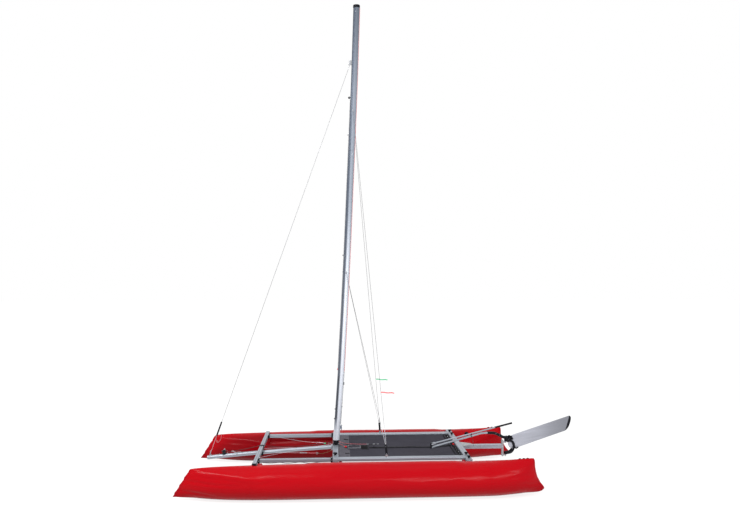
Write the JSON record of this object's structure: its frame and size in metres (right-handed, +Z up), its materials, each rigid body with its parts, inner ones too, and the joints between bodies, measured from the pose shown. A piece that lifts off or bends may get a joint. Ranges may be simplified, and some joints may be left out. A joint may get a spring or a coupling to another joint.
{
  "type": "sailing catamaran",
  "caption": "Inflatable beach catamaran with aluminium frame, trampoline, stayed mast, bowsprit and kick-up rudder with tiller and extension, no sails set.",
  "frame": {"origin": "on the floor below the middle of the boat's outline", "axes": "+X to the bow, +Y to port, +Z up the mast"},
  "size_m": [5.3096, 2.064, 6.3777],
  "materials": {
    "hull fabric": "gloss",
    "anodised aluminium": "satin",
    "mast aluminium": "satin",
    "black nylon": "matte",
    "trampoline cloth": "matte",
    "black webbing": "matte",
    "stainless steel": "polished"
  },
  "bodies": {
    "boat": {"aft_rail_port": "anodised aluminium", "aft_rail_starboard": "anodised aluminium", "bowsprit": "anodised aluminium", "bowsprit_clamp": "black nylon", "bowsprit_eye": "stainless steel", "bowsprit_socket": "black nylon", "chainplate_port": "stainless steel", "chainplate_starboard": "stainless steel", "crossbar_cap_port": "black nylon", "crossbar_cap_starboard": "black nylon", "crossbar_socket_port": "black nylon", "crossbar_socket_starboard": "black nylon", "foot_strap": "black webbing", "forestay": "stainless steel", "forestay_adjuster": "black nylon", "forestay_tail": "stainless steel", "forestay_tang": "stainless steel", "front_crossbar": "anodised aluminium", "front_rail_port": "anodised aluminium", "front_rail_starboard": "anodised aluminium", "furler_drum": "black nylon", "halyard_block": "black nylon", "hull_port": "hull fabric", "hull_starboard": "hull fabric", "mast": "mast aluminium", "mast_beam": "anodised aluminium", "mast_beam_socket_port": "black nylon", "mast_beam_socket_starboard": "black nylon", "mast_cap": "black nylon", "mast_cleat": "black nylon", "mast_foot": "black nylon", "rear_beam": "anodised aluminium", "rudder_beam": "anodised aluminium", "rudder_beam_gusset": "anodised aluminium", "rudder_post": "anodised aluminium", "sheet_pouch": "black webbing", "shroud_adjuster_port": "black nylon", "shroud_adjuster_starboard": "black nylon", "shroud_band_lower": "stainless steel", "shroud_band_upper": "stainless steel", "shroud_lower_port": "stainless steel", "shroud_lower_starboard": "stainless steel", "shroud_upper_port": "stainless steel", "shroud_upper_starboard": "stainless steel", "trampoline": "trampoline cloth"},
    "steering": {"rudder_head": "black nylon", "tiller": "anodised aluminium", "tiller_arm": "black nylon", "tiller_joint": "black nylon"},
    "blade": {"blade_tip": "black nylon", "rudder_blade": "anodised aluminium"},
    "knuckle": {"extension_knuckle": "black nylon"},
    "extension": {"extension_fork": "black nylon", "extension_grip": "black nylon", "extension_tube": "anodised aluminium"}
  },
  "joints": [
    {"name": "rudder_steer", "type": "hinge", "parent": "boat", "child": "steering", "pos_m": [-1.583, 0, 0.35], "axis": [0, 0, 1], "range_deg": [-64, 16]},
    {"name": "blade_lift", "type": "hinge", "parent": "steering", "child": "blade", "pos_m": [-1.70816, -0.05572, 0.35], "axis": [0.4067, -0.9135, 0], "range_deg": [0, 98.8]},
    {"name": "extension_swing", "type": "hinge", "parent": "steering", "child": "knuckle", "pos_m": [-0.50593, 0.47954, 0.53], "axis": [0, 0, 1], "range_deg": [-80, 80]},
    {"name": "extension_lift", "type": "hinge", "parent": "knuckle", "child": "extension", "pos_m": [-0.50593, 0.47954, 0.543], "axis": [-0.4067, 0.9135, 0], "range_deg": [0, 70]}
  ]
}
